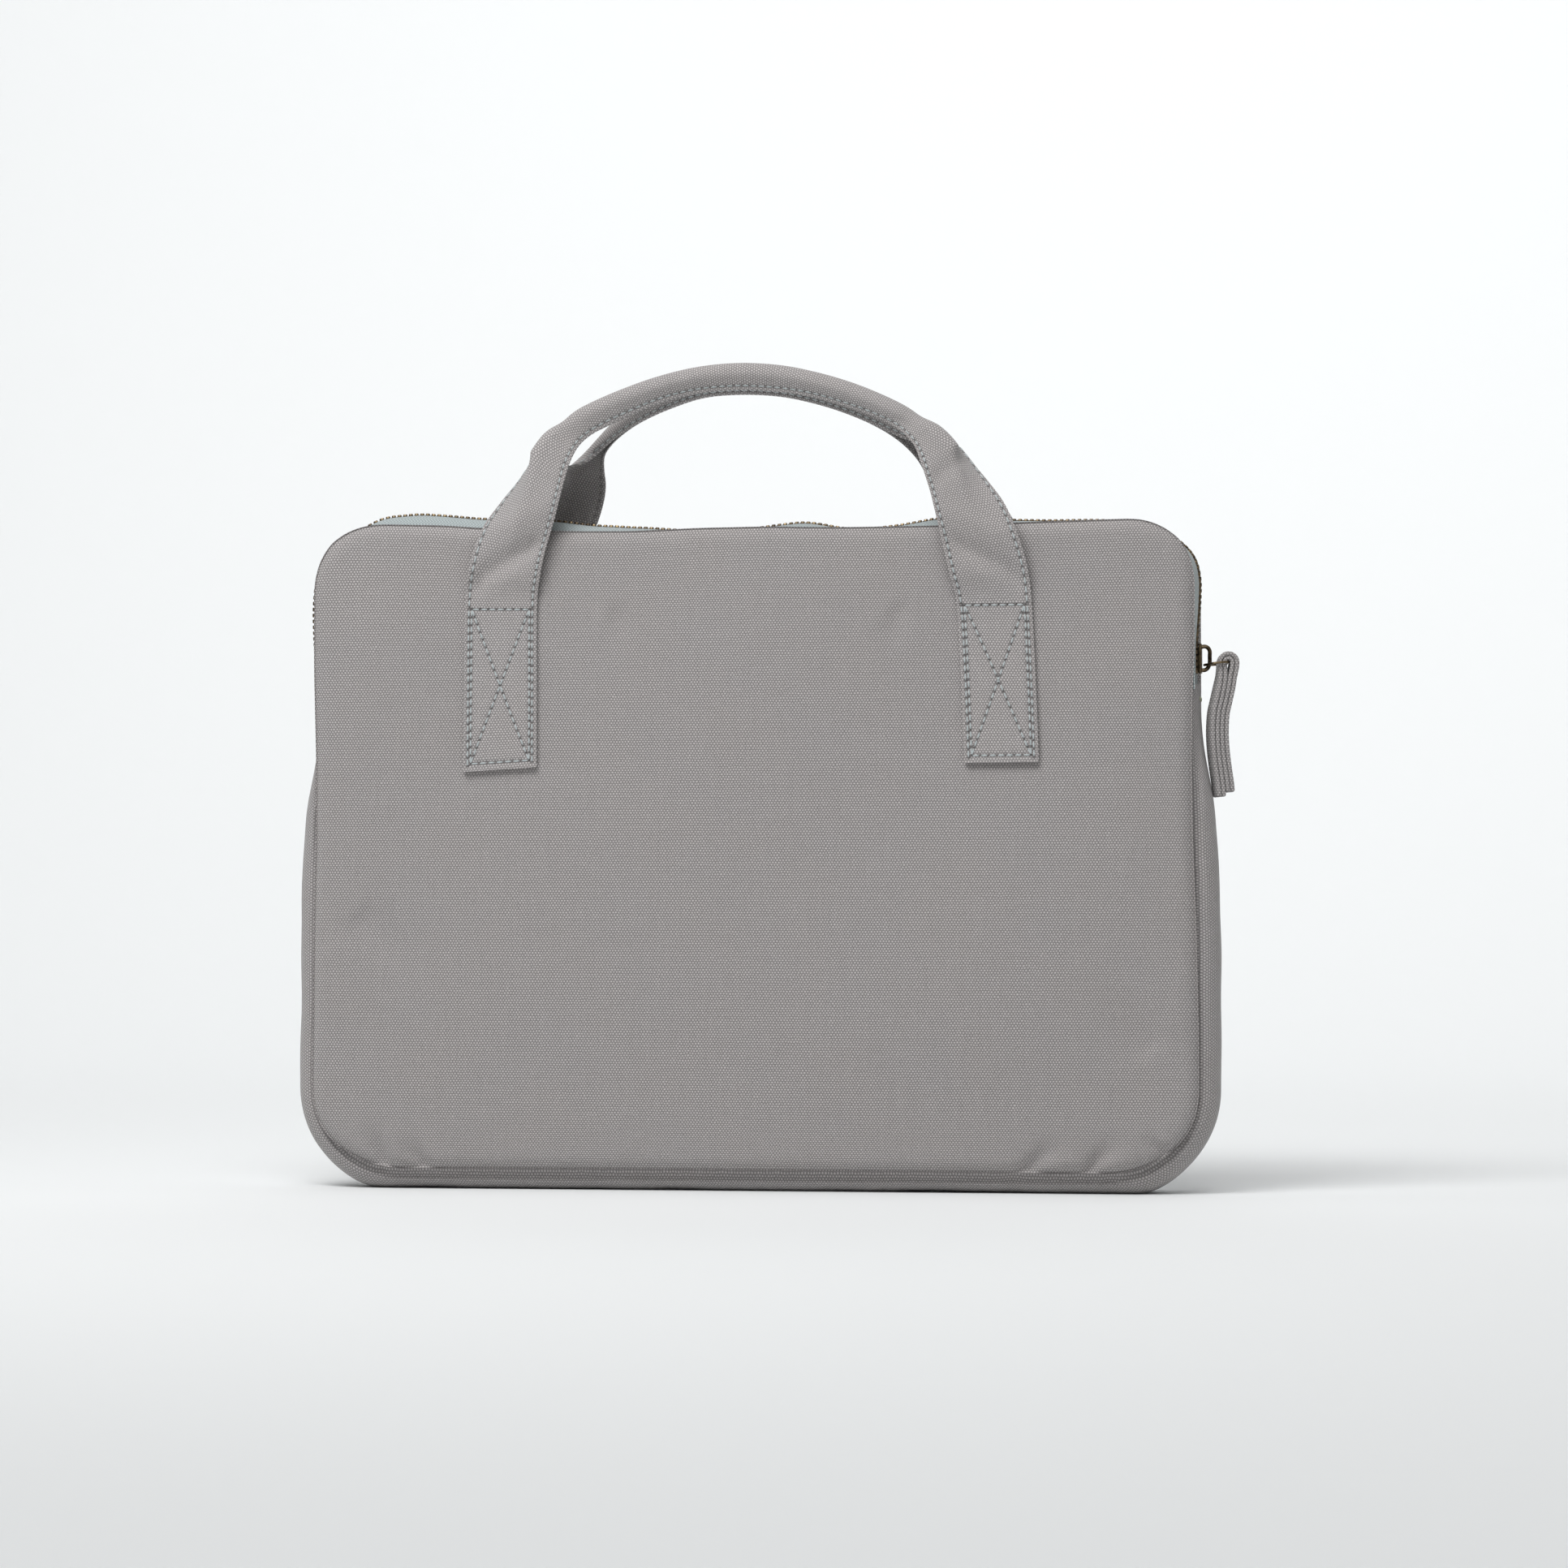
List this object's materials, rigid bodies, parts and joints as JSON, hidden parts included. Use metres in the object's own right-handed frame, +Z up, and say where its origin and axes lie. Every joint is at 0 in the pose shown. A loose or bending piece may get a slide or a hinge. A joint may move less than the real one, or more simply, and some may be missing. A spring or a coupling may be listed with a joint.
{
  "type": "laptop sleeve",
  "caption": "Padded canvas laptop sleeve with a metal zip round its mouth, a gusset round the sides and base, and a sewn strap handle with a folded grip on each panel.",
  "frame": {"origin": "on the floor, in the middle of the flat base of the gusset", "axes": "+X to the right seen from the front, along the width; -Y towards the front; +Z up, towards the handles"},
  "size_m": [0.3861, 0.0396, 0.3393],
  "materials": {
    "canvas": "warm grey plain-weave canvas, matte",
    "lining": "smooth grey lining cloth",
    "foam": "soft padding, never seen",
    "zip_tape": "blue-grey twill tape, matte",
    "zip_metal": "dark antique brass",
    "thread": "pale blue-grey sewing thread"
  },
  "bodies": {
    "case": {"gusset_canvas": "canvas", "gusset_foam": "foam", "gusset_lining": "lining", "bar_tack_left": "thread", "bar_tack_right": "thread", "zip_bottom_stop": "zip_metal", "zip_top_stop_front": "zip_metal", "zip_top_stop_back": "zip_metal", "front_panel_canvas": "canvas", "front_panel_foam": "foam", "front_panel_lining": "lining", "front_seam_binding": "lining", "front_tape_left_end": "zip_tape", "front_teeth_left_end": "zip_metal", "front_strap_left_end": "canvas", "front_box_stitch_left": "thread", "front_tape_right_end": "zip_tape", "front_teeth_right_end": "zip_metal", "front_strap_right_end": "canvas", "front_box_stitch_right": "thread", "back_panel_canvas": "canvas", "back_panel_foam": "foam", "back_panel_lining": "lining", "back_seam_binding": "lining", "back_tape_left_end": "zip_tape", "back_teeth_left_end": "zip_metal", "back_strap_left_end": "canvas", "back_box_stitch_left": "thread", "back_tape_right_end": "zip_tape", "back_teeth_right_end": "zip_metal", "back_strap_right_end": "canvas", "back_box_stitch_right": "thread"},
    "front_lip": {"front_lip_canvas": "canvas", "front_lip_foam": "foam", "front_lip_lining": "lining", "front_lip_tape": "zip_tape", "front_lip_teeth": "zip_metal"},
    "front_handle": {"front_handle": "canvas"},
    "back_lip": {"back_lip_canvas": "canvas", "back_lip_foam": "foam", "back_lip_lining": "lining", "back_lip_tape": "zip_tape", "back_lip_teeth": "zip_metal"},
    "back_handle": {"back_handle": "canvas"},
    "zip_slider": {"slider_body": "zip_metal"},
    "pull_link": {"pull_link": "zip_metal"},
    "pull_tab": {"fabric_pull": "canvas"}
  },
  "joints": [
    {"name": "front_lip_fold", "type": "hinge", "parent": "case", "child": "front_lip", "pos_m": [0, -0.01665, 0.239], "axis": [1, 0, 0], "range_deg": [0, 40]},
    {"name": "back_lip_fold", "type": "hinge", "parent": "case", "child": "back_lip", "pos_m": [0, 0.01665, 0.239], "axis": [-1, 0, 0], "range_deg": [0, 40]},
    {"name": "front_handle_fold", "type": "hinge", "parent": "front_lip", "child": "front_handle", "pos_m": [0, -0.01665, 0.239], "axis": [1, 0, 0], "range_deg": [0, 125]},
    {"name": "back_handle_fold", "type": "hinge", "parent": "back_lip", "child": "back_handle", "pos_m": [0, 0.01665, 0.239], "axis": [-1, 0, 0], "range_deg": [0, 125]},
    {"name": "zip_slide", "type": "slide", "parent": "case", "child": "zip_slider", "axis": [0, 0, 1], "range_m": [0, 0.022]},
    {"name": "link_swing", "type": "hinge", "parent": "zip_slider", "child": "pull_link", "pos_m": [0.1842, 0, 0.2154], "axis": [0, 1, 0], "range_deg": [-60, 0]},
    {"name": "pull_swing", "type": "hinge", "parent": "pull_link", "child": "pull_tab", "pos_m": [0.19355, 0, 0.21638], "axis": [0, -1, 0], "range_deg": [0, 180]}
  ]
}
